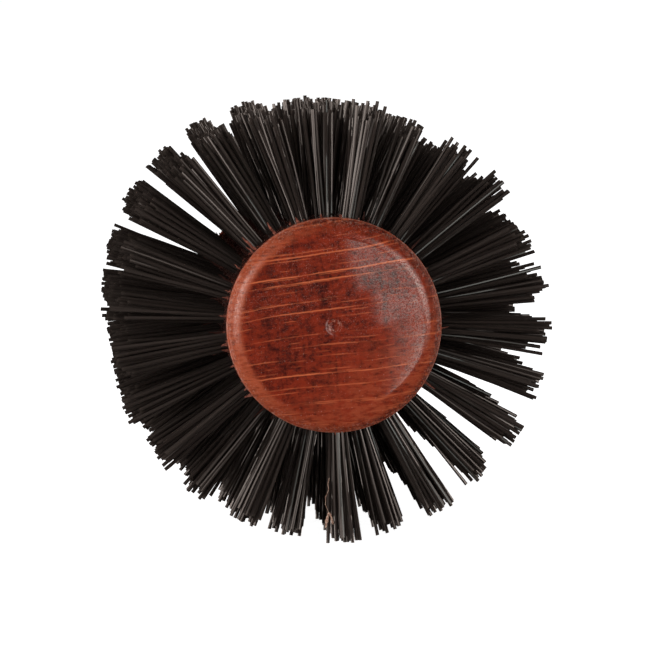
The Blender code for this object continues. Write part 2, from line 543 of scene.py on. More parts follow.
def body_spot(tree, place):
    """Where a point lies on the body, and masks for the free end and its worn edge."""
    from_axis = vector_math(tree, "SUBTRACT", place, (0.0, 0.0, AXIS_HEIGHT / MM))
    split = separate(tree, from_axis)
    radius = distance_from_y(tree, split)
    near_end = ramp(tree, split["Y"], FACE_MM + 1.2, FACE_MM + 3.0, 1.0, 0.0)
    lean = vector_math(tree, "MULTIPLY", from_axis, (0.075, 0.0, 0.012))
    lean = separate(tree, lean)
    stretched_place = vector_math(tree, "MULTIPLY", place, (0.45, 0.3, 1.6))
    return {
        "place": place,
        "along": split["Y"],
        "height": split["Z"],
        "radius": radius,
        "down": linear(tree, split["X"], 0.7, times(tree, split["Z"], -1.0)),
        # The right and upper side: where the edge is worn and dull, and where its painted shade falls; the
        # lit left side is its opposite.
        "worn_and_shaded_side": shader_math(tree, "ADD", lean["X"], lean["Z"]),
        "near_end": near_end,
        "edge": times(tree, ramp(tree, radius, RIM_MM - 1.4, RIM_MM - 0.4), near_end),
        "outline": ramp(tree, radius, RIM_MM - 0.24, RIM_MM - 0.08),
        "warm_grain": noise_value(tree, stretched_place, 1.3, 4.0, 0.7),
    }


def stained_grain(tree, wood, grain, spot):
    """Stain that the grain took unevenly, warmer towards the bottom, with paler rays."""
    tone = times(tree, ramp(tree, grain["Stain"], 0.30, 0.72), 0.40)
    tone = linear(tree, ramp(tree, grain["Pores"], 0.36, 0.60), 0.22, tone)
    tone = linear(tree, ramp(tree, grain["Streaks"], 0.36, 0.62), 0.26, tone)
    tone = linear(tree, ramp(tree, grain["Blotches"], 0.36, 0.62), 0.56, tone)
    tone = linear(tree, grain["Rings"], -0.42, tone)
    tone = shader_math(tree, "ADD", tone, ramp(tree, spot["down"], -3.0, 16.0, -0.10, 0.18))
    colour = mix_colour(tree, tone, tuple(wood.dark_stain), tuple(wood.light_stain))
    low = ramp(tree, spot["down"], 2.0, 17.0)
    warmth = times(tree, low, ramp(tree, spot["warm_grain"], 0.40, 0.60, 0.08, 0.95))
    colour = mix_colour(tree, warmth, colour, WARM_STAIN)
    return mix_colour(tree, grain["Rays"], colour, tuple(wood.ray_colour))


def edge_stain_light_and_shade(tree, colour, spot):
    """The free end's edge: a dark, crusty band on its worn side that is partly painted shade away from the
    key light; warm wood where the stain is worn thin, partly painted light on the lit left side; and a
    bright lip.
    """
    # Dark and crusty on the right and upper side: partly real, crusted lacquer, partly painted shade away
    # from the key light.
    crust_and_shade = ramp(tree, noise_value(tree, spot["place"], 3.2, 3.0, 0.7), 0.42, 0.62, 0.95, 0.05)
    crust_and_shade = times(tree, crust_and_shade, ramp(tree, spot["worn_and_shaded_side"], -0.8, 0.4, 0.15, 1.0), spot["edge"])
    colour = mix_colour(tree, crust_and_shade, colour, EDGE_CRUST_AND_SHADE)
    # Lighter, warmer wood on the lit left side of the edge, under the key light's highlight: partly worn
    # stain, partly painted light.
    bare_and_lit = times(
        tree,
        ramp(tree, spot["radius"], RIM_MM - 2.5, RIM_MM - 1.6),
        spot["near_end"],
        ramp(tree, spot["warm_grain"], 0.36, 0.58, 0.35, 1.0),
        shader_math(tree, "SUBTRACT", 1.0, crust_and_shade),
        ramp(tree, spot["worn_and_shaded_side"], -0.8, 0.4, 1.0, 0.12),
        ramp(tree, spot["height"], -13.0, -7.0, 0.45, 1.0),
    )
    colour = mix_colour(tree, bare_and_lit, colour, BARE_AND_LIT_EDGE)
    return mix_colour(tree, times(tree, spot["outline"], spot["near_end"], 0.6), colour, EDGE_LIP)


def painted_tuft_shade(tree, colour, spot):
    """Painted shade: darker wood between the tufts, where the bristles shade it, from behind the edge to
    the shoulder.
    """
    side = ramp(tree, spot["along"], FACE_MM + 1.6, FACE_MM + 4.0, 0.0, 0.92)
    drilled = ramp(tree, spot["along"], FACE_MM + 92.0, FACE_MM + 95.0, 1.0, 0.0)
    return mix_colour(tree, times(tree, side, drilled), colour, PAINTED_TUFT_SHADE)


def edge_knocks_and_glints(tree, colour, spot):
    """Rubbed patches, and small pale marks on the free end's edge that are partly knocked chips and partly
    painted glints.
    """
    rubbed = ramp(tree, noise_value(tree, spot["place"], 1.5, 3.0, 0.7), 0.45, 0.75)
    colour = mix_colour(tree, times(tree, spot["edge"], rubbed, 0.45), colour, RUBBED_WOOD)
    # Pale marks, strongest along the outline: partly knocked chips, partly painted glints.
    knocks_and_glints = ramp(tree, noise_value(tree, spot["place"], 2.6, 3.0, 0.8), 0.53, 0.65)
    where = shader_math(tree, "MAXIMUM", spot["outline"], times(tree, spot["edge"], 0.35))
    knocks_and_glints = times(tree, knocks_and_glints, where, spot["near_end"], 0.7)
    return mix_colour(tree, knocks_and_glints, colour, KNOCKS_AND_GLINTS)


def settled_dust(tree, colour, spot, dust):
    """Scratches around the dimple, then fine dust and flecks, less of them lower down."""
    place, radius = spot["place"], spot["radius"]
    hollow = times(tree, ramp(tree, radius, 0.35, 0.70), ramp(tree, radius, 0.85, 1.05, 1.0, 0.0))
    caught = ramp(tree, noise_value(tree, place, 3.6, 2.0, 0.75), 0.50, 0.62, 0.0, 0.45)
    colour = mix_colour(tree, times(tree, hollow, caught), colour, DIMPLE_SCRATCH)
    powder = ramp(tree, noise_value(tree, place, 5.2, 2.0, 0.75), 0.555, 0.70)
    drift = ramp(tree, noise_value(tree, place, 0.22, 2.0), 0.40, 0.60, 0.25, 1.0)
    powder = times(tree, powder, drift, ramp(tree, spot["height"], -8.0, 6.0, 0.3, 1.0), 0.22)
    sizes = {"Millimetres": place, "Fleck Spacing": 0.42, "Fleck Size": 0.09, "Share": 0.25}
    flecks = times(tree, place_group(tree, dust, sizes)["Mask"], 0.25)
    return mix_colour(tree, shader_math(tree, "MAXIMUM", powder, flecks), colour, WOOD_DUST)


def lacquer_weight(tree, spot):
    """Lacquer that is thinner over the grain, and worn at the edge and around the dimple."""
    radius = spot["radius"]
    fine = vector_math(tree, "MULTIPLY", spot["place"], (1.0, 0.3, 1.0))
    coat = ramp(tree, noise_value(tree, fine, 4.6, 2.0, 0.8), 0.40, 0.58, 0.22, 1.0)
    worn = times(
        tree,
        spot["near_end"],
        ramp(tree, radius, RIM_MM - 1.15, RIM_MM - 0.75),
        ramp(tree, spot["worn_and_shaded_side"], -0.8, 0.4, 0.72, 0.97),
    )
    dimple = ramp(tree, radius, 0.45, 0.75, 0.12, 0.55)
    dimple = shader_math(tree, "MAXIMUM", dimple, ramp(tree, radius, DIMPLE_RADIUS / MM, 1.2))
    return times(tree, coat, shader_math(tree, "SUBTRACT", 1.0, worn), dimple)


def lacquered_beech(wood, figure, dust):
    """Red-brown stain under lacquer, with pale rays, soft rings, painted shade between the tufts, and a
    worn edge at the free end that also carries painted light, shade and glints.
    """
    material, tree, shader = new_material(
        "lacquered_beech",
        {"Coat Roughness": 0.060, "Coat IOR": 1.5, "Specular IOR Level": 0.12},
    )
    place = object_millimetres(tree)
    spot = body_spot(tree, place)
    grain = place_group(
        tree,
        figure,
        {"Millimetres": place, "Ray Spacing": wood.ray_spacing, "Ring Spacing": wood.ring_spacing},
    )
    colour = stained_grain(tree, wood, grain, spot)
    colour = edge_stain_light_and_shade(tree, colour, spot)
    colour = painted_tuft_shade(tree, colour, spot)
    colour = edge_knocks_and_glints(tree, colour, spot)
    colour = settled_dust(tree, colour, spot, dust)
    tree.links.new(colour, shader.inputs["Base Color"])
    pores = ramp(tree, grain["Pores"], 0.36, 0.60)
    tree.links.new(linear(tree, pores, -0.12, 0.42), shader.inputs["Roughness"])
    tree.links.new(lacquer_weight(tree, spot), shader.inputs["Coat Weight"])
    height = linear(tree, grain["Rays"], 0.6, pores)
    height = linear(tree, ramp(tree, grain["Streaks"], 0.36, 0.62), 0.4, height)
    bump = add_node(tree, "ShaderNodeBump", {"Strength": 0.5, "Distance": 0.05 * MM, "Height": height})
    tree.links.new(bump.outputs[0], shader.inputs["Normal"])
    return material


def torn_fibre(figure):
    """Raw, torn beech at the hole rims: paler and dull, with painted shade darkening it behind the first
    holes.
    """
    material, tree, shader = new_material("torn_fibre", {"Roughness": 0.62, "Specular IOR Level": 0.3})
    place = object_millimetres(tree)
    grain = place_group(tree, figure, {"Millimetres": place, "Ray Spacing": 0.6})
    tone = ramp(tree, grain["Pores"], 0.3, 0.7)
    colour = mix_colour(tree, tone, (0.11, 0.026, 0.016, 1.0), (0.32, 0.105, 0.070, 1.0))
    along = separate(tree, place)["Y"]
    # Painted shade: the fibres behind the first holes are darkened, as the bristles shade them.
    painted_deep_shade = ramp(tree, along, FACE_MM + 6.5, FACE_MM + 10.5, 0.0, 0.88)
    colour = mix_colour(tree, painted_deep_shade, colour, (0.020, 0.0060, 0.0045, 1.0))
    tree.links.new(colour, shader.inputs["Base Color"])
    return material


def black_nylon(tufts, dust):
    """Extruded filament: some strands are glossier than others, and the tips are cut dull."""
    material, tree, shader = new_material(
        "black_nylon",
        {"Roughness": 0.30, "Specular IOR Level": 0.04, "Coat Roughness": 0.045, "Coat IOR": 1.50},
    )
    place = object_millimetres(tree)
    along = add_node(tree, "ShaderNodeAttribute", attribute_name="along").outputs["Fac"]
    strand = add_node(tree, "ShaderNodeAttribute", attribute_name="strand").outputs["Fac"]
    colour = mix_colour(tree, strand, tuple(tufts.nylon_colour), (0.042, 0.0320, 0.0275, 1.0))
    cut = times(tree, ramp(tree, along, 0.97, 1.0), 0.7)
    colour = mix_colour(tree, cut, colour, (0.050, 0.038, 0.032, 1.0))
    sizes = {"Millimetres": place, "Fleck Spacing": 2.4, "Fleck Size": 0.10, "Share": 0.2}
    flecks = times(tree, place_group(tree, dust, sizes)["Mask"], 0.5)
    colour = mix_colour(tree, flecks, colour, (0.30, 0.27, 0.25, 1.0))
    tree.links.new(colour, shader.inputs["Base Color"])
    tree.links.new(ramp(tree, strand, 0.10, 0.75, 0.30, 1.0), shader.inputs["Coat Weight"])
    return material


def dry_shaving():
    """Pale dry wood with darker specks."""
    material, tree, shader = new_material("dry_shaving", {"Roughness": 0.7})
    place = object_millimetres(tree)
    specks = ramp(tree, noise_value(tree, place, 4.0, 3.0, 0.7), 0.35, 0.65)
    colour = mix_colour(tree, specks, (0.22, 0.085, 0.050, 1.0), (0.72, 0.50, 0.38, 1.0))
    tree.links.new(colour, shader.inputs["Base Color"])
    return material


def flat_wire():
    """Drawn flat steel wire, a little tarnished."""
    material, tree, shader = new_material("flat_wire", {"Metallic": 1.0})
    place = object_millimetres(tree)
    tarnish = noise_value(tree, place, 1.8, 3.0)
    colour = mix_colour(tree, tarnish, (0.58, 0.56, 0.53, 1.0), (0.36, 0.33, 0.29, 1.0))
    tree.links.new(colour, shader.inputs["Base Color"])
    tree.links.new(linear(tree, tarnish, 0.25, 0.28), shader.inputs["Roughness"])
    return material


def material_named(name, maker):
    return bpy.data.materials.get(name) or maker()


def shared_group(name, maker):
    return bpy.data.node_groups.get(name) or maker()


# ---------------------------------------------------------------------------- mesh helpers


def finish_piece(piece, material, *nodes, slot):
    """Gives a finished mesh its material, puts it on the root, and hides the parts that it stands for."""
    piece.data.materials.clear()
    piece.data.materials.append(material)
    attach(piece, "root")
    if nodes:
        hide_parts(*nodes)
    return piece


def add_object(name, mesh):
    piece = bpy.data.objects.new(name, mesh)
    bpy.context.scene.collection.objects.link(piece)
    return piece


def row_turn(row):
    """Turns local +Z from straight up to the row's direction. Row 0 points straight down."""
    return math.pi - row * ROW_ANGLE


def row_rotation(row):
    return Matrix.Rotation(row_turn(row), 3, "Y")


def outward(row):
    """The direction in which a row's tufts stand."""
    return row_rotation(row) @ Vector((0.0, 0.0, 1.0))


def row_shift(row):
    """Every second row stands half a pitch further back."""
    return TUFT_PITCH / 2 if row % 2 else 0.0


def on_axis(distance):
    """A point of the brush's axis, at a distance from the free end."""
    return Vector((0.0, FACE_Y + distance, AXIS_HEIGHT))


def hole_middle(row, tuft):
    """The point of the axis under a hole."""
    return on_axis(FIRST_TUFT + row_shift(row) + tuft * TUFT_PITCH)


def quarter_turn(steps):
    angles = [math.pi / 2 * step / steps for step in range(1, steps)]
    return [(math.cos(angle), math.sin(angle)) for angle in angles]


# ---------------------------------------------------------------------------- turned body


def face_profile(steps=12):
    """(distance, radius) from the centre mark's rim, across the end face and round its edge."""
    flat = BARREL_RADIUS - EDGE_WIDTH
    points = []
    for step in range(steps + 1):
        points.append((0.0, 2.2 * MM + (flat - 2.2 * MM) * step / steps))
    for cosine, sine in quarter_turn(16):
        points.append((EDGE_DEPTH * (1 - cosine), flat + EDGE_WIDTH * sine))
    points.append((EDGE_DEPTH, BARREL_RADIUS))
    points.append(((EDGE_DEPTH + GRID_START) / 2, BARREL_RADIUS))
    return points


def centre_profile(steps=10):
    """From the axis out over the shallow dimple that the lathe's centre left."""
    points = []
    for step in range(1, steps + 1):
        share = step / steps
        points.append((DIMPLE_DEPTH * (1 - share**3), DIMPLE_RADIUS * share))
    points.append((0.0, 1.5 * MM))
    return points


def cove_profile(start, end, convex, steps=12):
    """A quarter round between two stations, bulging out or hollow, without its first point."""
    points = []
    for cosine, sine in quarter_turn(steps) + [(0.0, 1.0)]:
        if convex:
            share = (sine, 1 - cosine)
        else:
            share = (1 - cosine, sine)
        points.append(
            (start[0] + (end[0] - start[0]) * share[0], start[1] + (end[1] - start[1]) * share[1])
        )
    return points


def swell_profile(start, end, steps):
    points = []
    for step in range(1, steps + 1):
        share = step / steps
        rise = (1 - math.cos(math.pi * share)) / 2
        points.append((start[0] + (end[0] - start[0]) * share, start[1] + (end[1] - start[1]) * rise))
    return points


def handle_profile():
    """From behind the drilled part over the shoulder, the neck and the handle to the butt."""
    points = [(SHOULDER_START, BARREL_RADIUS)]
    points += cove_profile(points[-1], (SHOULDER_END, SHOULDER_RADIUS), convex=True)
    points += cove_profile(points[-1], NECK, convex=False)
    points += swell_profile(NECK, PALM_SWELL, 26)
    points += swell_profile(PALM_SWELL, WAIST, 30)
    points += swell_profile(WAIST, BUTT_SWELL, 12)
    points += cove_profile(points[-1], (BODY_LENGTH, CENTRE_MARK_RADIUS), convex=True, steps=16)
    points.append((BODY_LENGTH - CENTRE_MARK_DEPTH * 0.6, CENTRE_MARK_RADIUS * 0.55))
    points.append((BODY_LENGTH - CENTRE_MARK_DEPTH, CENTRE_MARK_RADIUS * 0.15))
    return points


def turned_ring(shape, distance, radius, count):
    """A ring of vertices. Its first one stands on the border before row 0's cells."""
    ring = []
    for step in range(count):
        turn = row_turn(0) + ROW_ANGLE / 2 - math.tau * step / count
        offset = Vector((math.sin(turn), 0.0, math.cos(turn))) * radius
        ring.append(shape.verts.new(on_axis(distance) + offset))
    return ring


def join_rings(shape, first, second):
    """Faces between two rings, also where one has a whole number of times the other's points."""
    coarse, fine = sorted((first, second), key=len)
    factor = len(fine) // len(coarse)
    for index, vertex in enumerate(coarse):
        after = coarse[(index + 1) % len(coarse)]
        run = [fine[(index * factor + step) % len(fine)] for step in range(factor + 1)]
        shape.faces.new([vertex, after] + run[::-1])


def close_ring(shape, ring, point):
    """Faces from a ring to one point."""
    pole = shape.verts.new(point)
    for index, vertex in enumerate(ring):
        shape.faces.new([vertex, ring[(index + 1) % len(ring)], pole])


def build_free_end(shape, grid_front):
    """The end face with its centre mark and elliptical edge, down to the drilled part."""
    rings = [turned_ring(shape, *point, AROUND) for point in centre_profile()]
    close_ring(shape, rings[0], on_axis(DIMPLE_DEPTH))
    rings += [turned_ring(shape, *point, AROUND * FINE) for point in face_profile()]
    rings.append(grid_front)
    for first, second in zip(rings, rings[1:]):
        join_rings(shape, first, second)


def build_handle(shape, grid_back):
    rings = [grid_back] + [turned_ring(shape, *point, AROUND) for point in handle_profile()]
    for first, second in zip(rings, rings[1:]):
        join_rings(shape, first, second)
    close_ring(shape, rings[-1], on_axis(BODY_LENGTH - CENTRE_MARK_DEPTH))


def hole_ring(shape, row, tuft, radius, sink, dice):
    """A ring around a hole: on the barrel's surface or, with a number to sink, inside the hole."""
    turn, middle = row_rotation(row), hole_middle(row, tuft)
    ring = []
    for step in range(2 * (CELL_AROUND + CELL_ALONG)):
        angle = math.radians(-120 + 15 * step)
        here = radius * (1 + dice.uniform(-0.02, 0.02))
        across, along = here * math.cos(angle), here * math.sin(angle)
        out = math.sqrt(BARREL_RADIUS**2 - across**2) - sink
        ring.append(shape.verts.new(middle + turn @ Vector((-across, along, out))))
    return ring


def cell_outline(grid, row, tuft):
    """The grid vertices around a hole's cell, starting at its front corner."""
    left = row * CELL_AROUND
    front = tuft * CELL_ALONG + (CELL_ALONG // 2 if row % 2 else 0)
    corners = []
    corners += [(left + step, front) for step in range(CELL_AROUND)]
    corners += [(left + CELL_AROUND, front + step) for step in range(CELL_ALONG)]
    corners += [(left + CELL_AROUND - step, front + CELL_ALONG) for step in range(CELL_AROUND)]
    corners += [(left, front + CELL_ALONG - step) for step in range(CELL_ALONG)]
    return [grid[around % AROUND, along] for around, along in corners]


def build_hole(shape, outline, row, tuft, wood, dice):
    """One drilled hole in its cell: a frayed rim, a straight wall and a conical floor."""
    rings = [
        outline,
        hole_ring(shape, row, tuft, wood.hole_radius + 0.10 * MM, -0.01 * MM, dice),
        hole_ring(shape, row, tuft, wood.hole_radius, 0.10 * MM, dice),
        hole_ring(shape, row, tuft, wood.hole_radius * 0.98, wood.hole_depth - 0.5 * MM, dice),
    ]
    for first, second in zip(rings, rings[1:]):
        join_rings(shape, first, second)
    floor = hole_middle(row, tuft) + outward(row) * (BARREL_RADIUS - wood.hole_depth)
    close_ring(shape, rings[-1], floor)


def build_drilled_part(shape, wood, dice):
    """The barrel's surface as a grid of cells with a hole in each. Returns its two end rings."""
    inside = set()
    for row in range(ROWS):
        for tuft in range(TUFTS_PER_ROW):
            front = tuft * CELL_ALONG + (CELL_ALONG // 2 if row % 2 else 0)
            for around in range(1, CELL_AROUND):
                for along in range(1, CELL_ALONG):
                    inside.add((row * CELL_AROUND + around, front + along))
    rings = [
        turned_ring(shape, GRID_START + along * GRID_STEP, BARREL_RADIUS, AROUND)
        for along in range(GRID_ALONG + 1)
    ]
    grid = {
        (around, along): vertex for along, ring in enumerate(rings) for around, vertex in enumerate(ring)
    }
    for key in inside:
        shape.verts.remove(grid.pop(key))
    for row in range(ROWS):
        for tuft in range(TUFTS_PER_ROW):
            build_hole(shape, cell_outline(grid, row, tuft), row, tuft, wood, dice)
        blank = 0 if row % 2 else GRID_ALONG - CELL_ALONG // 2
        for along in range(blank, blank + CELL_ALONG // 2):
            for step in range(CELL_AROUND):
                around = row * CELL_AROUND + step
                after = (around + 1) % AROUND
                shape.faces.new(
                    [
                        grid[around, along],
                        grid[after, along],
                        grid[after, along + 1],
                        grid[around, along + 1],
                    ]
                )
    return rings[0], rings[-1]


def knock_edge(shape):
    """Small dents and chips in the free end's edge, and a face that isn't quite flat."""
    for vertex in shape.verts:
        distance = vertex.co.y - FACE_Y
        offset = vertex.co - on_axis(distance)
        radius = offset.length
        if distance > 2.6 * MM or radius < 2.0 * MM:
            continue
        edge = max(0.0, min(1.0, (radius - 13.4 * MM) / (1.2 * MM)))
        chips = noise.noise(vertex.co / (0.55 * MM)) + 0.5 * noise.noise(vertex.co / (0.24 * MM))
        dents = noise.noise(vertex.co / (2.6 * MM))
        depth = edge * (max(0.0, chips - 0.35) * 0.24 + 0.03 * dents) * MM
        vertex.co -= offset.normalized() * depth * 0.9
        vertex.co.y += depth + 0.008 * MM * (1 - edge) * (1 + noise.noise(vertex.co / (3.4 * MM)))


class BRUSH_OT_turn_body(bpy.types.Operator):
    """Turn the beech body from its profile and drill its holes"""

    bl_idname = "brush.turn_body"
    bl_label = "Turn Body"

    def execute(self, context):
        wood = context.scene.brush_wood
        figure = shared_group("beech_figure", beech_figure_group)
        dust = shared_group("dust_flecks", dust_group)
        material = material_named("lacquered_beech", lambda: lacquered_beech(wood, figure, dust))
        dice = random.Random(11)
        shape = bmesh.new()
        front, back = build_drilled_part(shape, wood, dice)
        build_free_end(shape, front)
        build_handle(shape, back)
        knock_edge(shape)
        bmesh.ops.recalc_face_normals(shape, faces=shape.faces)
        mesh = bpy.data.meshes.new("brush_body")
        shape.to_mesh(mesh)
        shape.free()
        mesh.shade_smooth()
        mesh.set_sharp_from_angle(angle=math.radians(38))
        finish_piece(add_object("brush_body", mesh), material, "turned_body", slot="stained_beech")
        return {"FINISHED"}


# ---------------------------------------------------------------------------- geometry nodes


def new_geometry_tree(name, inputs):
    """A geometry node tree with a geometry in and out, and (name, socket type) for its inputs."""
    tree = bpy.data.node_groups.new(name, "GeometryNodeTree")
    tree.interface.new_socket("Geometry", in_out="INPUT", socket_type="NodeSocketGeometry")
    for label, kind in inputs:
        tree.interface.new_socket(label, in_out="INPUT", socket_type=kind)
    tree.interface.new_socket("Geometry", in_out="OUTPUT", socket_type="NodeSocketGeometry")
    return tree, add_node(tree, "NodeGroupInput"), add_node(tree, "NodeGroupOutput")


def run_tree(piece, tree, values):
    """Runs a tree on an object and keeps its result as a plain mesh."""
    modifier = piece.modifiers.new(tree.name, "NODES")
    modifier.node_group = tree
    for item in tree.interface.items_tree:
        if item.item_type == "SOCKET" and item.in_out == "INPUT" and item.name in values:
            modifier[item.identifier] = values[item.name]
    bpy.context.view_layer.update()
    graph = bpy.context.evaluated_depsgraph_get()
    mesh = bpy.data.meshes.new_from_object(piece.evaluated_get(graph))
    piece.modifiers.remove(modifier)
    old = piece.data
    piece.data = mesh
    bpy.data.meshes.remove(old)
    mesh.name = piece.name
    return piece


def random_value(tree, low, high, seed, identity=None, vector=False):
    """A random number or vector for each point."""
    node = tree.nodes.new("FunctionNodeRandomValue")
    node.data_type = "FLOAT_VECTOR" if vector else "FLOAT"
    places = (0, 1, 0) if vector else (2, 3, 1)
    node.inputs[places[0]].default_value = low
    node.inputs[places[1]].default_value = high
    if identity is not None:
        tree.links.new(identity, node.inputs["ID"])
    tree.links.new(seed, node.inputs["Seed"])
    return node.outputs[places[2]]


def seed_plus(tree, seed, number):
    return shader_math(tree, "ADD", seed, float(number))


def seeded(tree, seed, number, low, high, *each, **options):
    """A random value from the seed plus a number, so that each use draws its own."""
    return random_value(tree, low, high, seed_plus(tree, seed, number), *each, **options)


def store(tree, geometry, name, value, kind, domain="POINT"):
    """Keeps a value on the geometry under a name."""
    node = add_node(
        tree,
        "GeometryNodeStoreNamedAttribute",
        {"Geometry": geometry, "Name": name, "Value": value},
        data_type=kind,
        domain=domain,
    )
    return node.outputs[0]


def recall(tree, name, kind):
    node = add_node(tree, "GeometryNodeInputNamedAttribute", {"Name": name}, data_type=kind)
    return next(socket for socket in node.outputs if socket.enabled and socket.name == "Attribute")


def tuft_row_tree():
    """One row of tufts. Local Y runs along the barrel and Z points out from its axis."""
    tree, given, result = new_geometry_tree(
        "tuft_row",
        [
            ("Tufts", "NodeSocketInt"),
            ("Pitch", "NodeSocketFloat"),
            ("First Tuft", "NodeSocketFloat"),
            ("Filaments", "NodeSocketInt"),
            ("Filament Radius", "NodeSocketFloat"),
            ("Hole Radius", "NodeSocketFloat"),
            ("Root Height", "NodeSocketFloat"),
            ("Barrel Radius", "NodeSocketFloat"),
            ("Tip Radius", "NodeSocketFloat"),
            ("Fan", "NodeSocketFloat"),
            ("Unevenness", "NodeSocketFloat"),
            ("Stray", "NodeSocketFloat"),
            ("Bow", "NodeSocketFloat"),
            ("Seed", "NodeSocketInt"),
            ("Nylon", "NodeSocketMaterial"),
        ],
    )
    get = given.outputs
    seed = get["Seed"]
    whole = (1.0, 1.0, 1.0)
    negative = (-1.0, -1.0, -1.0)
    count = shader_math(tree, "MULTIPLY", get["Tufts"], get["Filaments"])
    line = add_node(tree, "GeometryNodeMeshLine", {"Count": count, "Offset": (0.0, 0.0, 0.0)})
    index = add_node(tree, "GeometryNodeInputIndex").outputs[0]
    share = shader_math(tree, "DIVIDE", shader_math(tree, "ADD", index, 0.5), get["Filaments"])
    tuft = shader_math(tree, "FLOOR", share)
    before = shader_math(tree, "MULTIPLY", tuft, get["Filaments"])
    strand = shader_math(tree, "SUBTRACT", index, before)
    tuft_id = add_node(tree, "FunctionNodeFloatToInt", {0: tuft}).outputs[0]

    spin = seeded(tree, seed, 1, 0.0, math.tau, tuft_id)
    angle = shader_math(tree, "MULTIPLY_ADD", strand, GOLDEN_ANGLE, spin)
    filled = shader_math(tree, "DIVIDE", shader_math(tree, "ADD", strand, 0.5), get["Filaments"])
    out = shader_math(tree, "SQRT", filled)
    toward = combine(tree, shader_math(tree, "COSINE", angle), shader_math(tree, "SINE", angle), 0.0)
    toward = scale_vector(tree, toward, out)
    room = shader_math(tree, "SUBTRACT", get["Hole Radius"], get["Filament Radius"])
    root = scale_vector(tree, toward, room)

    stray = seeded(tree, seed, 2, negative, whole, vector=True)
    lean = seeded(tree, seed, 3, negative, whole, tuft_id, vector=True)
    astray = scale_vector(tree, vector_math(tree, "ADD", stray, lean), get["Stray"])
    tip = vector_math(tree, "ADD", scale_vector(tree, toward, get["Fan"]), astray)
    short = shader_math(tree, "POWER", seeded(tree, seed, 4, 0.0, 1.0), 1.1)
    tuft_short = seeded(tree, seed, 5, -0.06, 0.26, tuft_id)
    short = shader_math(tree, "ADD", shader_math(tree, "MULTIPLY", short, 0.72), tuft_short)
    short = shader_math(tree, "MAXIMUM", short, 0.0)
    missing = shader_math(tree, "MULTIPLY", short, get["Unevenness"])
    height = shader_math(tree, "SUBTRACT", get["Tip Radius"], missing)
    middle = shader_math(tree, "MULTIPLY_ADD", tuft, get["Pitch"], get["First Tuft"])
    bow = seeded(tree, seed, 6, (-1.0, -1.0, 0.0), (1.0, 1.0, 0.0), vector=True)

    points = store(tree, line.outputs[0], "root", root, "FLOAT_VECTOR")
    points = store(tree, points, "tip", tip, "FLOAT_VECTOR")
    points = store(tree, points, "bow", scale_vector(tree, bow, get["Bow"]), "FLOAT_VECTOR")
    points = store(tree, points, "height", height, "FLOAT")
    points = store(tree, points, "middle", middle, "FLOAT")
    points = store(tree, points, "roll", seeded(tree, seed, 8, 0.0, math.tau), "FLOAT")
    points = store(tree, points, "twist", seeded(tree, seed, 9, -0.25, 0.25), "FLOAT")
    points = store(tree, points, "strand", seeded(tree, seed, 7, 0.0, 1.0), "FLOAT")

    rod = add_node(
        tree,
        "GeometryNodeMeshCylinder",
        {"Vertices": 10, "Side Segments": 4, "Radius": 1.0, "Depth": 1.0},
        fill_type="NGON",
    )
    planted = {"Points": points, "Instance": rod.outputs[0]}
    copies = add_node(tree, "GeometryNodeInstanceOnPoints", planted)
    real = add_node(tree, "GeometryNodeRealizeInstances", {0: copies.outputs[0]}).outputs[0]

    unit = add_node(tree, "GeometryNodeInputPosition").outputs[0]
    split = add_node(tree, "ShaderNodeSeparateXYZ", {0: unit})
    along = shader_math(tree, "ADD", split.outputs["Z"], 0.5)
    in_hole = add_node(tree, "ShaderNodeClamp", {0: shader_math(tree, "MULTIPLY", along, 3.0)}).outputs[0]
    free = shader_math(tree, "MULTIPLY_ADD", along, 1.5, -0.5)
    free = add_node(tree, "ShaderNodeClamp", {0: free}).outputs[0]
    root_at, tip_at = recall(tree, "root", "FLOAT_VECTOR"), recall(tree, "tip", "FLOAT_VECTOR")
    bow_at, height_at = recall(tree, "bow", "FLOAT_VECTOR"), recall(tree, "height", "FLOAT")
    reach = vector_math(tree, "SUBTRACT", tip_at, root_at)
    side = vector_math(tree, "ADD", root_at, scale_vector(tree, reach, free))
    hump = shader_math(tree, "MULTIPLY", free, shader_math(tree, "SUBTRACT", 1.0, free))
    bowed = scale_vector(tree, bow_at, shader_math(tree, "MULTIPLY", hump, 4.0))
    side = vector_math(tree, "ADD", side, bowed)
    hole_rise = shader_math(tree, "SUBTRACT", get["Barrel Radius"], get["Root Height"])
    free_rise = shader_math(tree, "SUBTRACT", height_at, get["Barrel Radius"])
    rise = shader_math(tree, "MULTIPLY_ADD", in_hole, hole_rise, get["Root Height"])
    rise = shader_math(tree, "MULTIPLY_ADD", free, free_rise, rise)
    at_tip = shader_math(tree, "GREATER_THAN", along, 0.99)
    flare = shader_math(tree, "MULTIPLY_ADD", at_tip, 0.10, 1.0)
    thickness = shader_math(tree, "MULTIPLY", get["Filament Radius"], flare)
    twist_at, roll_at = recall(tree, "twist", "FLOAT"), recall(tree, "roll", "FLOAT")
    roll = shader_math(tree, "MULTIPLY_ADD", along, twist_at, roll_at)
    cosine, sine = shader_math(tree, "COSINE", roll), shader_math(tree, "SINE", roll)
    facing = combine(tree, cosine, sine, 0.0)
    aside = combine(tree, shader_math(tree, "MULTIPLY", sine, -1.0), cosine, 0.0)
    across = scale_vector(tree, facing, split.outputs["X"])
    turned = vector_math(tree, "ADD", across, scale_vector(tree, aside, split.outputs["Y"]))
    skin = scale_vector(tree, turned, thickness)
    centre = combine(tree, 0.0, recall(tree, "middle", "FLOAT"), rise)
    flat_side = vector_math(tree, "MULTIPLY", side, (1.0, 1.0, 0.0))
    place = vector_math(tree, "ADD", vector_math(tree, "ADD", flat_side, centre), skin)

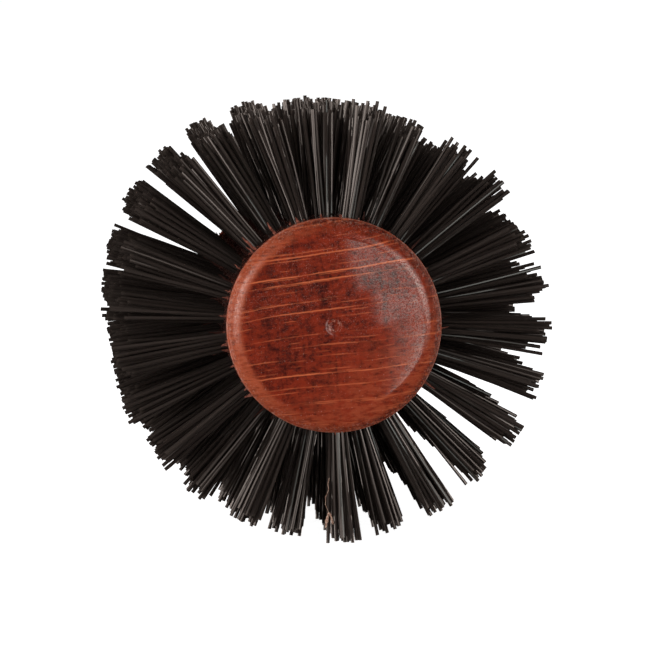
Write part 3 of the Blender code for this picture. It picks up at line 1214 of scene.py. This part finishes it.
    kept = store(tree, real, "along", along, "FLOAT")
    moved = add_node(tree, "GeometryNodeSetPosition", {"Geometry": kept, "Position": place}).outputs[0]
    for name in ("root", "tip", "bow", "height", "middle"):
        moved = add_node(tree, "GeometryNodeRemoveAttribute", {"Geometry": moved, "Name": name}).outputs[0]
    dressed = add_node(tree, "GeometryNodeSetMaterial", {"Geometry": moved, "Material": get["Nylon"]})
    tree.links.new(dressed.outputs[0], result.inputs[0])
    return tree


def row_growth(row):
    """Rows on the upper left have been pressed less than the others and stand a little further out."""
    return LEAST_PRESSED * max(0.0, outward(row).dot(Vector((-0.75, 0.0, 0.66))))


def row_spread(row):
    """The tips of rows that point down are trimmed more evenly."""
    return 1.0 - EVEN_TRIM * max(0.0, -outward(row).z)


class BRUSH_OT_plant_tufts(bpy.types.Operator):
    """Plant the rows of nylon tufts"""

    bl_idname = "brush.plant_tufts"
    bl_label = "Plant Tufts"

    def execute(self, context):
        wood, tufts = context.scene.brush_wood, context.scene.brush_tufts
        dust = shared_group("dust_flecks", dust_group)
        nylon = material_named("black_nylon", lambda: black_nylon(tufts, dust))
        tree = tuft_row_tree()
        for row in range(ROWS):
            name = f"tufts_{row + 1:02d}"
            piece = add_object(name, bpy.data.meshes.new(name))
            run_tree(
                piece,
                tree,
                {
                    "Tufts": TUFTS_PER_ROW,
                    "Pitch": TUFT_PITCH,
                    "First Tuft": FACE_Y + FIRST_TUFT + row_shift(row),
                    "Filaments": tufts.filaments,
                    "Filament Radius": tufts.filament_radius,
                    "Hole Radius": wood.hole_radius,
                    "Root Height": BARREL_RADIUS - wood.hole_depth + 1.0 * MM,
                    "Barrel Radius": BARREL_RADIUS,
                    "Tip Radius": TIP_RADIUS + row_growth(row),
                    "Fan": tufts.fan,
                    "Unevenness": tufts.unevenness * row_spread(row),
                    "Stray": tufts.stray,
                    "Bow": tufts.bow,
                    "Seed": 100 * row,
                    "Nylon": nylon,
                },
            )
            turn = Matrix.Translation((0, 0, AXIS_HEIGHT)) @ Matrix.Rotation(row_turn(row), 4, "Y")
            piece.data.transform(turn)
            piece.data.shade_smooth()
            piece.data.set_sharp_from_angle(angle=math.radians(20))
            finish_piece(piece, nylon, f"bristle_row_{row + 1:02d}", slot="bristle_nylon")
        return {"FINISHED"}


def hole_points(name, height):
    """One vertex for each hole, at a height above the axis, with its outward direction kept."""
    shape = bmesh.new()
    directions = []
    for row in range(ROWS):
        for tuft in range(TUFTS_PER_ROW):
            shape.verts.new(hole_middle(row, tuft) + outward(row) * height)
            directions.append(outward(row))
    mesh = bpy.data.meshes.new(name)
    shape.to_mesh(mesh)
    shape.free()
    kept = mesh.attributes.new("outward", "FLOAT_VECTOR", "POINT")
    kept.data.foreach_set("vector", [value for direction in directions for value in direction])
    return add_object(name, mesh)


def anchor_tree():
    """A short flat wire across each hole."""
    tree, given, result = new_geometry_tree(
        "tuft_anchor",
        [
            ("Length", "NodeSocketFloat"),
            ("Thickness", "NodeSocketFloat"),
            ("Depth", "NodeSocketFloat"),
            ("Seed", "NodeSocketInt"),
            ("Wire", "NodeSocketMaterial"),
        ],
    )
    get = given.outputs
    size = combine(tree, get["Length"], get["Thickness"], get["Depth"])
    wire = add_node(tree, "GeometryNodeMeshCube", {"Size": size})
    points = add_node(tree, "GeometryNodeMeshToPoints", {"Mesh": get["Geometry"]}).outputs[0]
    upright = add_node(
        tree,
        "FunctionNodeAlignRotationToVector",
        {"Vector": recall(tree, "outward", "FLOAT_VECTOR")},
        axis="Z",
    ).outputs[0]
    turn = combine(tree, 0.0, 0.0, random_value(tree, -0.25, 0.25, get["Seed"]))
    spun = add_node(
        tree,
        "FunctionNodeRotateRotation",
        {0: upright, 1: turn},
        rotation_space="LOCAL",
    ).outputs[0]
    copies = add_node(
        tree,
        "GeometryNodeInstanceOnPoints",
        {"Points": points, "Instance": wire.outputs[0], "Rotation": spun},
    )
    real = add_node(tree, "GeometryNodeRealizeInstances", {0: copies.outputs[0]}).outputs[0]
    real = add_node(tree, "GeometryNodeRemoveAttribute", {"Geometry": real, "Name": "outward"}).outputs[0]
    dressed = add_node(tree, "GeometryNodeSetMaterial", {"Geometry": real, "Material": get["Wire"]})
    tree.links.new(dressed.outputs[0], result.inputs[0])
    return tree


class BRUSH_OT_set_anchors(bpy.types.Operator):
    """Set a flat wire anchor at the bottom of each hole"""

    bl_idname = "brush.set_anchors"
    bl_label = "Set Anchors"

    def execute(self, context):
        wood = context.scene.brush_wood
        material = material_named("flat_wire", flat_wire)
        piece = hole_points("tuft_anchors", BARREL_RADIUS - wood.hole_depth + 1.3 * MM)
        run_tree(
            piece,
            anchor_tree(),
            {
                "Length": 2 * wood.hole_radius - 0.2 * MM,
                "Thickness": 0.35 * MM,
                "Depth": 1.5 * MM,
                "Seed": 5,
                "Wire": material,
            },
        )
        finish_piece(piece, material, slot="anchor_wire")
        return {"FINISHED"}


def burr_tree():
    """Torn slivers of wood standing up around the rim of each hole."""
    tree, given, result = new_geometry_tree(
        "hole_burrs",
        [
            ("Burrs", "NodeSocketInt"),
            ("Hole Radius", "NodeSocketFloat"),
            ("Longest", "NodeSocketFloat"),
            ("Seed", "NodeSocketInt"),
            ("Fibre", "NodeSocketMaterial"),
        ],
    )
    get = given.outputs
    points = add_node(tree, "GeometryNodeMeshToPoints", {"Mesh": get["Geometry"]}).outputs[0]
    many = add_node(
        tree,
        "GeometryNodeDuplicateElements",
        {"Geometry": points, "Amount": get["Burrs"]},
        domain="POINT",
    ).outputs[0]
    upward = recall(tree, "outward", "FLOAT_VECTOR")
    across = vector_math(tree, "CROSS_PRODUCT", upward, (0.0, 1.0, 0.0))
    angle = random_value(tree, 0.0, math.tau, get["Seed"])
    sideways = scale_vector(tree, across, shader_math(tree, "COSINE", angle))
    away = vector_math(tree, "ADD", sideways, combine(tree, 0.0, shader_math(tree, "SINE", angle), 0.0))
    offset = scale_vector(tree, away, shader_math(tree, "ADD", get["Hole Radius"], 0.06 * MM))
    moved = add_node(tree, "GeometryNodeSetPosition", {"Geometry": many, "Offset": offset}).outputs[0]
    moved = store(tree, moved, "away", away, "FLOAT_VECTOR")
    chance = random_value(tree, 0.0, 1.0, seed_plus(tree, get["Seed"], 1))
    rare = shader_math(tree, "POWER", chance, 7.0)
    length = shader_math(tree, "MULTIPLY_ADD", rare, get["Longest"], 0.26 * MM)
    width = random_value(tree, 0.09 * MM, 0.30 * MM, seed_plus(tree, get["Seed"], 2))
    size = combine(tree, width, shader_math(tree, "MULTIPLY", width, 0.45), length)
    sliver = add_node(
        tree,
        "GeometryNodeMeshCone",
        {"Vertices": 6, "Side Segments": 3, "Radius Top": 0.12, "Radius Bottom": 1.0, "Depth": 1.0},
        fill_type="NGON",
    )
    ragged = seeded(tree, get["Seed"], 3, (-0.3,) * 3, (0.3,) * 3, vector=True)
    ragged = vector_math(tree, "MULTIPLY", ragged, (1.0, 1.0, 0.15))
    shaped = {"Geometry": sliver.outputs[0], "Offset": ragged}
    bent = add_node(tree, "GeometryNodeSetPosition", shaped).outputs[0]
    tilt = seeded(tree, get["Seed"], 4, (-0.35,) * 3, (0.35,) * 3, vector=True)
    leaning = vector_math(tree, "ADD", upward, tilt)
    spread = scale_vector(tree, recall(tree, "away", "FLOAT_VECTOR"), 0.12)
    leaning = vector_math(tree, "ADD", leaning, spread)
    upright = add_node(tree, "FunctionNodeAlignRotationToVector", {"Vector": leaning}, axis="Z").outputs[0]
    copies = add_node(
        tree,
        "GeometryNodeInstanceOnPoints",
        {"Points": moved, "Instance": bent, "Rotation": upright, "Scale": size},
    )
    real = add_node(tree, "GeometryNodeRealizeInstances", {0: copies.outputs[0]}).outputs[0]
    for name in ("outward", "away"):
        real = add_node(tree, "GeometryNodeRemoveAttribute", {"Geometry": real, "Name": name}).outputs[0]
    dressed = add_node(tree, "GeometryNodeSetMaterial", {"Geometry": real, "Material": get["Fibre"]})
    tree.links.new(dressed.outputs[0], result.inputs[0])
    return tree


def sweep(shape, points, sizes, sides=6):
    """A closed, tapered tube through some points. Sizes are its half widths: (wide, thin)."""
    rings = []
    for index, point in enumerate(points):
        before, after = points[max(index - 1, 0)], points[min(index + 1, len(points) - 1)]
        along = (after - before).normalized()
        wide = along.cross(Vector((0.0, 1.0, 0.0))).normalized()
        thin = along.cross(wide)
        ring = []
        for side in range(sides):
            angle = math.tau * side / sides
            offset = wide * math.cos(angle) * sizes[index][0] + thin * math.sin(angle) * sizes[index][1]
            ring.append(shape.verts.new(point + offset))
        rings.append(ring)
    for first, second in zip(rings, rings[1:]):
        for side in range(sides):
            after = (side + 1) % sides
            shape.faces.new([first[side], first[after], second[after], second[side]])
    shape.faces.new(rings[0][::-1])
    shape.faces.new(rings[-1])
    bmesh.ops.recalc_face_normals(shape, faces=shape.faces)


def add_slivers():
    """The longest torn fibres, beside the first holes: (direction, length, width) of each."""
    dice = random.Random(17)
    shape = bmesh.new()
    for direction, length, width in SLIVERS:
        turn = Matrix.Rotation(math.radians(90.0 - direction), 3, "Y")
        out = turn @ Vector((0.0, 0.0, 1.0))
        aside = turn @ Vector((1.0, 0.0, 0.0))
        start = on_axis(dice.uniform(4.6, 5.8) * MM) + out * (BARREL_RADIUS - 0.2 * MM)
        points, sizes = [], []
        for step in range(5):
            share = step / 4
            bend = aside * dice.uniform(-0.10, 0.10) * MM
            bend = bend + Vector((0.0, dice.uniform(-0.12, 0.12) * MM, 0.0))
            points.append(start + out * (length + 0.2) * share * MM + bend)
            half = width / 2 * (1 - share) ** 0.7 * dice.uniform(0.75, 1.25) + 0.02
            sizes.append((half * MM, half * 0.55 * MM))
        sweep(shape, points, sizes)
    mesh = bpy.data.meshes.new("rim_slivers")
    shape.to_mesh(mesh)
    shape.free()
    return add_object("rim_slivers", mesh)


class BRUSH_OT_raise_burrs(bpy.types.Operator):
    """Raise torn wood fibres at the rims of the holes"""

    bl_idname = "brush.raise_burrs"
    bl_label = "Raise Burrs"

    def execute(self, context):
        wood = context.scene.brush_wood
        figure = shared_group("beech_figure", beech_figure_group)
        material = material_named("torn_fibre", lambda: torn_fibre(figure))
        piece = hole_points("hole_burrs", BARREL_RADIUS - 0.14 * MM)
        run_tree(
            piece,
            burr_tree(),
            {
                "Burrs": wood.burrs_per_hole,
                "Hole Radius": wood.hole_radius,
                "Longest": 2.2 * MM,
                "Seed": 21,
                "Fibre": material,
            },
        )
        finish_piece(piece, material, slot="stained_beech")
        finish_piece(add_slivers(), material, slot="stained_beech")
        return {"FINISHED"}


def add_swept(name, points, sizes):
    shape = bmesh.new()
    sweep(shape, points, sizes)
    mesh = bpy.data.meshes.new(name)
    shape.to_mesh(mesh)
    shape.free()
    mesh.shade_smooth()
    return add_object(name, mesh)


def lint_path(anchors, steps, wobble, seed):
    """Points through some anchors (x and height from the axis, distance from the free end)."""
    dice = random.Random(seed)
    points = []
    for first, second in zip(anchors, anchors[1:]):
        for step in range(steps):
            share = step / steps
            spot = [first[axis] + (second[axis] - first[axis]) * share for axis in range(3)]
            spot = [value + dice.uniform(-wobble, wobble) for value in spot]
            points.append(on_axis(spot[2] * MM) + Vector((spot[0] * MM, 0.0, spot[1] * MM)))
    last = anchors[-1]
    points.append(on_axis(last[2] * MM) + Vector((last[0] * MM, 0.0, last[1] * MM)))
    return points


class BRUSH_OT_leave_lint(bpy.types.Operator):
    """Leave a wood shaving and a fine hair among the lower tufts"""

    bl_idname = "brush.leave_lint"
    bl_label = "Leave Lint"

    def execute(self, context):
        shaving_material = material_named("dry_shaving", dry_shaving)
        dice = random.Random(8)
        points = lint_path(SHAVING_ROUTE, 4, 0.035, 3)
        sizes = [(dice.uniform(0.10, 0.26) * MM, dice.uniform(0.05, 0.09) * MM) for _ in points]
        sizes[0] = sizes[-1] = (0.04 * MM, 0.03 * MM)
        finish_piece(add_swept("wood_shaving", points, sizes), shaving_material, slot="stained_beech")
        points = lint_path(HAIR_ROUTE, 5, 0.02, 4)
        sizes = [(0.035 * MM, 0.035 * MM)] * len(points)
        finish_piece(add_swept("stray_hair", points, sizes), shaving_material, slot="bristle_nylon")
        return {"FINISHED"}


# ---------------------------------------------------------------------------- stage


def camera_back(stage):
    """Unit vector from the end face towards the camera."""
    level = math.cos(stage.elevation)
    return Vector(
        (math.sin(stage.azimuth) * level, -math.cos(stage.azimuth) * level, math.sin(stage.elevation))
    )


def add_camera(stage):
    """Looks at the end face. The aim is a little to the left of and above its middle."""
    back = camera_back(stage)
    facing = back.to_track_quat("Z", "Y").to_matrix().to_4x4()
    facing = facing @ Matrix.Rotation(-stage.roll, 4, "Z")
    aim = on_axis(0.0) + facing.to_3x3() @ Vector((-1.39 * MM, 0.14 * MM, 0.0))
    data = bpy.data.cameras.new("camera")
    data.lens = stage.lens
    data.sensor_width = 36.0
    data.clip_start = 0.01
    data.clip_end = 50.0
    camera = bpy.data.objects.new("camera", data)
    camera.matrix_world = Matrix.Translation(aim + back * stage.distance) @ facing
    bpy.context.scene.collection.objects.link(camera)
    bpy.context.scene.camera = camera


def front_point(azimuth, elevation):
    """A point in front of the end face, at angles from the brush's axis in degrees."""
    side, up = math.radians(azimuth), math.radians(elevation)
    offset = Vector((math.sin(side) * math.cos(up), -math.cos(side) * math.cos(up), math.sin(up)))
    return on_axis(0.0) + offset * LIGHT_DISTANCE


def facing_face(middle):
    """A placement that turns local +Z from a point towards the end face."""
    facing = (on_axis(0.0) - middle).to_track_quat("Z", "Y").to_matrix().to_4x4()
    return Matrix.Translation(middle) @ facing


def add_fill_light(name, middle, size, power):
    """A soft rectangular light for the colour of things, without a reflection of its own."""
    data = bpy.data.lights.new(name, "AREA")
    data.shape = "RECTANGLE"
    data.size, data.size_y = size
    data.energy = power
    light = bpy.data.objects.new(name, data)
    light.matrix_world = facing_face(middle) @ Matrix.Rotation(math.pi, 4, "X")
    light.visible_camera = False
    light.visible_glossy = False
    bpy.context.scene.collection.objects.link(light)


def add_reflected_panel(name, middle, size, radiance, core, softness, tint):
    """A white panel with soft borders and a brighter core, seen only in glossy things."""
    shape = bmesh.new()
    bmesh.ops.create_grid(shape, x_segments=1, y_segments=1, size=0.5)
    mesh = bpy.data.meshes.new(name)
    shape.to_mesh(mesh)
    shape.free()
    mesh.transform(Matrix.Diagonal((size[0], size[1], 1.0, 1.0)))
    panel = add_object(name, mesh)
    panel.matrix_world = facing_face(middle)
    unlit = {"Base Color": (0.0, 0.0, 0.0, 1.0), "Specular IOR Level": 0.0}
    material, tree, shader = new_material(name, unlit)
    shader.inputs["Emission Color"].default_value = tint
    place = add_node(tree, "ShaderNodeTexCoord").outputs["Object"]
    scaled = vector_math(tree, "DIVIDE", place, (size[0] / 2, size[1] / 2, 1.0))
    away = add_node(tree, "ShaderNodeSeparateXYZ", {0: vector_math(tree, "ABSOLUTE", scaled)})
    glow = radiance
    for axis in ("X", "Y"):
        fade = ramp(tree, away.outputs[axis], 1 - 2 * softness, 1.0, 1.0, 0.0)
        glow = shader_math(tree, "MULTIPLY", fade, glow)
    middle_share = add_node(tree, "ShaderNodeVectorMath", {0: scaled}, operation="LENGTH").outputs["Value"]
    hot = ramp(tree, middle_share, 0.0, 0.7, 1.0 + core, 1.0)
    tree.links.new(shader_math(tree, "MULTIPLY", glow, hot), shader.inputs["Emission Strength"])
    material.cycles.emission_sampling = "NONE"
    mesh.materials.append(material)
    panel.visible_camera = False
    panel.visible_diffuse = False
    panel.visible_shadow = False
    panel.visible_transmission = False


def add_floor(stage):
    """A wide plain floor that glows for the camera, as a lit white table does."""
    shape = bmesh.new()
    bmesh.ops.create_grid(shape, x_segments=1, y_segments=1, size=12.0)
    mesh = bpy.data.meshes.new("floor")
    shape.to_mesh(mesh)
    shape.free()
    floor = add_object("floor", mesh)
    material, tree, shader = new_material("floor", {"Roughness": 0.9, "Specular IOR Level": 0.0})
    shader.inputs["Base Color"].default_value = stage.floor_colour
    shader.inputs["Emission Color"].default_value = (1.0, 1.0, 1.0, 1.0)
    place = add_node(tree, "ShaderNodeTexCoord").outputs["Object"]
    away = add_node(tree, "ShaderNodeVectorMath", {0: place}, operation="LENGTH").outputs["Value"]
    glow = ramp(tree, away, 0.06, 0.30, 0.94, 1.02)
    seen = add_node(tree, "ShaderNodeLightPath").outputs["Is Camera Ray"]
    tree.links.new(shader_math(tree, "MULTIPLY", seen, glow), shader.inputs["Emission Strength"])
    mesh.materials.append(material)
    floor.visible_glossy = False


def add_world():
    """White for the camera, even and soft for matt things, and dark in reflections."""
    world = bpy.data.worlds.new("studio")
    bpy.context.scene.world = world
    world.use_nodes = True
    tree = world.node_tree
    path = add_node(tree, "ShaderNodeLightPath")
    soft = shader_math(tree, "MULTIPLY", path.outputs["Is Diffuse Ray"], 0.20)
    strength = shader_math(tree, "MULTIPLY_ADD", path.outputs["Is Camera Ray"], 1.02, soft)
    background = tree.nodes["Background"]
    background.inputs["Color"].default_value = (1.0, 1.0, 1.0, 1.0)
    tree.links.new(strength, background.inputs["Strength"])


class BRUSH_OT_dress_stage(bpy.types.Operator):
    """Add the floor, the studio lights and the camera"""

    bl_idname = "brush.dress_stage"
    bl_label = "Dress Stage"

    def execute(self, context):
        stage = context.scene.brush_stage
        context.scene.view_settings.view_transform = "Standard"
        add_floor(stage)
        add_world()
        for name, (azimuth, elevation, size, power) in FILL_LIGHTS.items():
            add_fill_light(name, front_point(azimuth, elevation), size, power)
        add_fill_light("top_fill", Vector((0.0, 0.05, 0.9)), (0.9, 0.7), 0.6)
        for name, (azimuth, elevation, *look) in PANELS.items():
            add_reflected_panel(name, front_point(azimuth, elevation), *look, WARM_WHITE)
        near = on_axis(-NEAR_DISTANCE)
        for name, (beside, above, *look) in NEAR_PANELS.items():
            add_reflected_panel(name, near + Vector((beside, 0.0, above)), *look, PLAIN_WHITE)
        add_camera(stage)
        return {"FINISHED"}


# ---------------------------------------------------------------------------- sidebar


class BRUSH_PT_sidebar(bpy.types.Panel):
    """Settings and steps of the hair brush"""

    bl_idname = "BRUSH_PT_sidebar"
    bl_label = "Round Barrel Hair Brush"
    bl_space_type = "VIEW_3D"
    bl_region_type = "UI"
    bl_category = "Hair Brush"

    def draw(self, context):
        layout = self.layout
        for settings in (context.scene.brush_wood, context.scene.brush_tufts, context.scene.brush_stage):
            box = layout.box()
            for name in settings.bl_rna.properties.keys():
                if name not in ("rna_type", "name"):
                    box.prop(settings, name)
        for operator in OPERATORS:
            layout.operator(operator.bl_idname)


GROUPS = {
    "brush_wood": BrushWoodSettings,
    "brush_tufts": BrushTuftSettings,
    "brush_stage": BrushStageSettings,
}
OPERATORS = (
    BRUSH_OT_turn_body,
    BRUSH_OT_set_anchors,
    BRUSH_OT_plant_tufts,
    BRUSH_OT_raise_burrs,
    BRUSH_OT_leave_lint,
    BRUSH_OT_dress_stage,
)


def register():
    for settings in GROUPS.values():
        bpy.utils.register_class(settings)
    for name, settings in GROUPS.items():
        setattr(bpy.types.Scene, name, PointerProperty(type=settings))
    for operator in OPERATORS:
        bpy.utils.register_class(operator)
    bpy.utils.register_class(BRUSH_PT_sidebar)


def unregister():
    bpy.utils.unregister_class(BRUSH_PT_sidebar)
    for operator in reversed(OPERATORS):
        bpy.utils.unregister_class(operator)
    for name, settings in GROUPS.items():
        delattr(bpy.types.Scene, name)
        bpy.utils.unregister_class(settings)


def main():
    register()
    bpy.ops.brush.turn_body()
    bpy.ops.brush.set_anchors()
    bpy.ops.brush.plant_tufts()
    bpy.ops.brush.raise_burrs()
    bpy.ops.brush.leave_lint()
    bpy.ops.brush.dress_stage()


if __name__ == "__main__":
    main()
